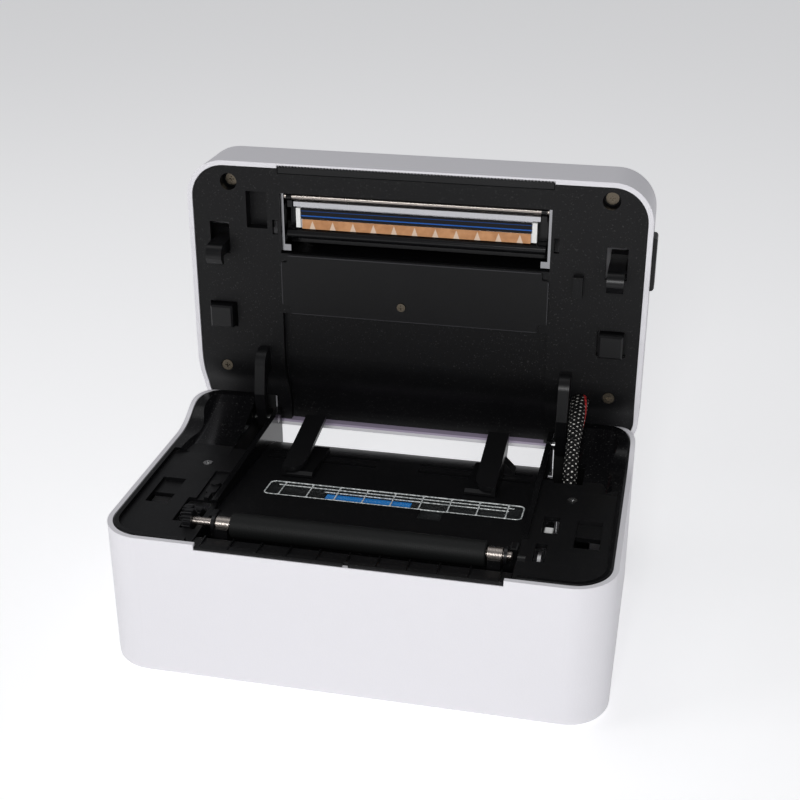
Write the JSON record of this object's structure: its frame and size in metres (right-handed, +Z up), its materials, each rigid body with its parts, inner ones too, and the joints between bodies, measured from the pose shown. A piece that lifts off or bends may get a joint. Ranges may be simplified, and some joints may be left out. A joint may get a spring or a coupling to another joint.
{
  "type": "receipt printer",
  "caption": "Desktop thermal receipt and label printer with a clamshell lid standing open over its roller, gears and sliding paper guides.",
  "frame": {"origin": "on the desk, under the middle of the base, between the four rubber feet", "axes": "+X to the printer's right as its user faces it, +Y to its back, +Z up; the lid stands open at joint value zero"},
  "size_m": [0.219, 0.1634, 0.1927],
  "materials": {
    "white_plastic": "fine textured moulding",
    "black_plastic": "fine textured moulding",
    "black_gloss": "smooth",
    "clear_plastic": "clear",
    "blue_board": "lacquered board",
    "green_board": "lacquered board",
    "white_part": "natural nylon",
    "steel": "turned",
    "bright_steel": "bright plated",
    "aluminium": "brushed",
    "rubber_black": "ground rubber",
    "gear_nylon": "black acetal",
    "ceramic": "glazed",
    "flex": "film",
    "braid": "braided sleeve",
    "motor_metal": "plated"
  },
  "bodies": {
    "base": {"base_shell": "white_plastic", "base_tray": "black_plastic", "front_apron": "black_plastic", "light_window": "clear_plastic", "sensor_board": "blue_board", "cover_sensor": "white_part", "earth_spring": "steel", "bottom_cover": "white_plastic", "rubber_feet": "rubber_black", "tray_screws": "steel", "main_board": "green_board", "power_inlet": "black_plastic", "usb_port": "steel", "switch_frame": "black_plastic", "gear_keeper": "black_plastic", "bush_clips": "black_plastic", "hinge_pins": "steel", "platen_bushes": "steel", "motor_bracket": "steel", "stepper_motor": "motor_metal", "gear_axles": "steel", "guide_axle": "steel"},
    "platen": {"platen_shaft": "steel", "platen_roller": "rubber_black", "platen_collars": "gear_nylon", "platen_gear": "gear_nylon"},
    "idler": {"idler_gear": "gear_nylon"},
    "reduction": {"reduction_gear": "gear_nylon"},
    "pinion": {"motor_pinion": "steel", "motor_shaft": "steel"},
    "left_guide_body": {"left_guide": "black_plastic"},
    "right_guide_body": {"right_guide": "black_plastic"},
    "guide_pinion_body": {"guide_pinion": "gear_nylon"},
    "rocker": {"power_rocker": "black_plastic"},
    "lid": {"lid_shell": "white_plastic", "lid_plate": "black_plastic", "tear_bar": "black_gloss", "head_cover": "black_plastic", "lid_screws": "steel", "hinge_ears": "black_plastic", "head_rod": "steel", "head_brackets": "bright_steel", "head_housing": "black_plastic", "head_cable": "braid", "head_springs": "steel", "latch_springs": "steel", "plunger_springs": "steel"},
    "left_latch_body": {"left_latch": "black_plastic"},
    "right_latch_body": {"right_latch": "black_plastic"},
    "left_plunger_body": {"left_plunger": "black_plastic"},
    "right_plunger_body": {"right_plunger": "black_plastic"},
    "head": {"head_mount": "black_gloss", "heat_sink": "aluminium", "head_ceramic": "ceramic", "head_flex": "flex", "head_end_caps": "white_part"}
  },
  "joints": [
    {"name": "lid_hinge", "type": "hinge", "parent": "base", "child": "lid", "pos_m": [0, 0.06, 0.0652], "axis": [1, 0, 0], "range_deg": [0, 90], "deforming": ["head_cable"]},
    {"name": "platen_turn", "type": "hinge", "parent": "base", "child": "platen", "pos_m": [0, -0.0465, 0.0667], "axis": [1, 0, 0], "continuous": true},
    {"name": "idler_turn", "type": "hinge", "parent": "base", "child": "idler", "pos_m": [-0.07, -0.03721, 0.0601], "axis": [1, 0, 0], "continuous": true},
    {"name": "reduction_turn", "type": "hinge", "parent": "base", "child": "reduction", "pos_m": [-0.07, -0.03319, 0.04255], "axis": [1, 0, 0], "continuous": true},
    {"name": "pinion_turn", "type": "hinge", "parent": "base", "child": "pinion", "pos_m": [-0.07, -0.02019, 0.03635], "axis": [1, 0, 0], "continuous": true},
    {"name": "left_guide_slide", "type": "slide", "parent": "base", "child": "left_guide_body", "axis": [1, 0, 0], "range_m": [-0.011, 0.03]},
    {"name": "right_guide_slide", "type": "slide", "parent": "base", "child": "right_guide_body", "axis": [1, 0, 0], "range_m": [-0.03, 0.011]},
    {"name": "guide_pinion_turn", "type": "hinge", "parent": "base", "child": "guide_pinion_body", "pos_m": [0, 0.0335, 0.054], "axis": [0, 0, 1], "range_deg": [-157.7, 429.8]},
    {"name": "rocker_tilt", "type": "hinge", "parent": "base", "child": "rocker", "pos_m": [-0.076, 0.0633, 0.0195], "axis": [0, 0, 1], "range_deg": [-16, 0]},
    {"name": "head_tilt", "type": "hinge", "parent": "lid", "child": "head", "pos_m": [0, 0.06785, 0.1764], "axis": [1, 0, 0], "range_deg": [0, 2], "stiffness_Nm_per_rad": 4, "springref_deg": -3.44, "deforming": ["head_springs"]},
    {"name": "left_latch_slide", "type": "slide", "parent": "lid", "child": "left_latch_body", "axis": [0, 0, 1], "range_m": [0, 0.004], "stiffness_N_per_m": 400, "springref_m": -0.004, "deforming": ["latch_springs"]},
    {"name": "right_latch_slide", "type": "slide", "parent": "lid", "child": "right_latch_body", "axis": [0, 0, 1], "range_m": [0, 0.004], "stiffness_N_per_m": 400, "springref_m": -0.004},
    {"name": "left_plunger_slide", "type": "slide", "parent": "lid", "child": "left_plunger_body", "axis": [0, 1, 0], "range_m": [0, 0.00301], "deforming": ["plunger_springs"]},
    {"name": "right_plunger_slide", "type": "slide", "parent": "lid", "child": "right_plunger_body", "axis": [0, 1, 0], "range_m": [0, 0.00301]}
  ],
  "couplings": [
    {"joint": "idler_turn", "follows": "platen_turn", "ratio": -0.72727},
    {"joint": "reduction_turn", "follows": "platen_turn", "ratio": 0.48485},
    {"joint": "pinion_turn", "follows": "platen_turn", "ratio": -1.4545},
    {"joint": "right_guide_slide", "follows": "left_guide_slide", "ratio": -1},
    {"joint": "guide_pinion_turn", "follows": "left_guide_slide", "rad_per_m": 250},
    {"joint": "left_plunger_slide", "follows": "lid_hinge", "m_per_rad": 0.00191},
    {"joint": "right_plunger_slide", "follows": "lid_hinge", "m_per_rad": 0.00191}
  ]
}
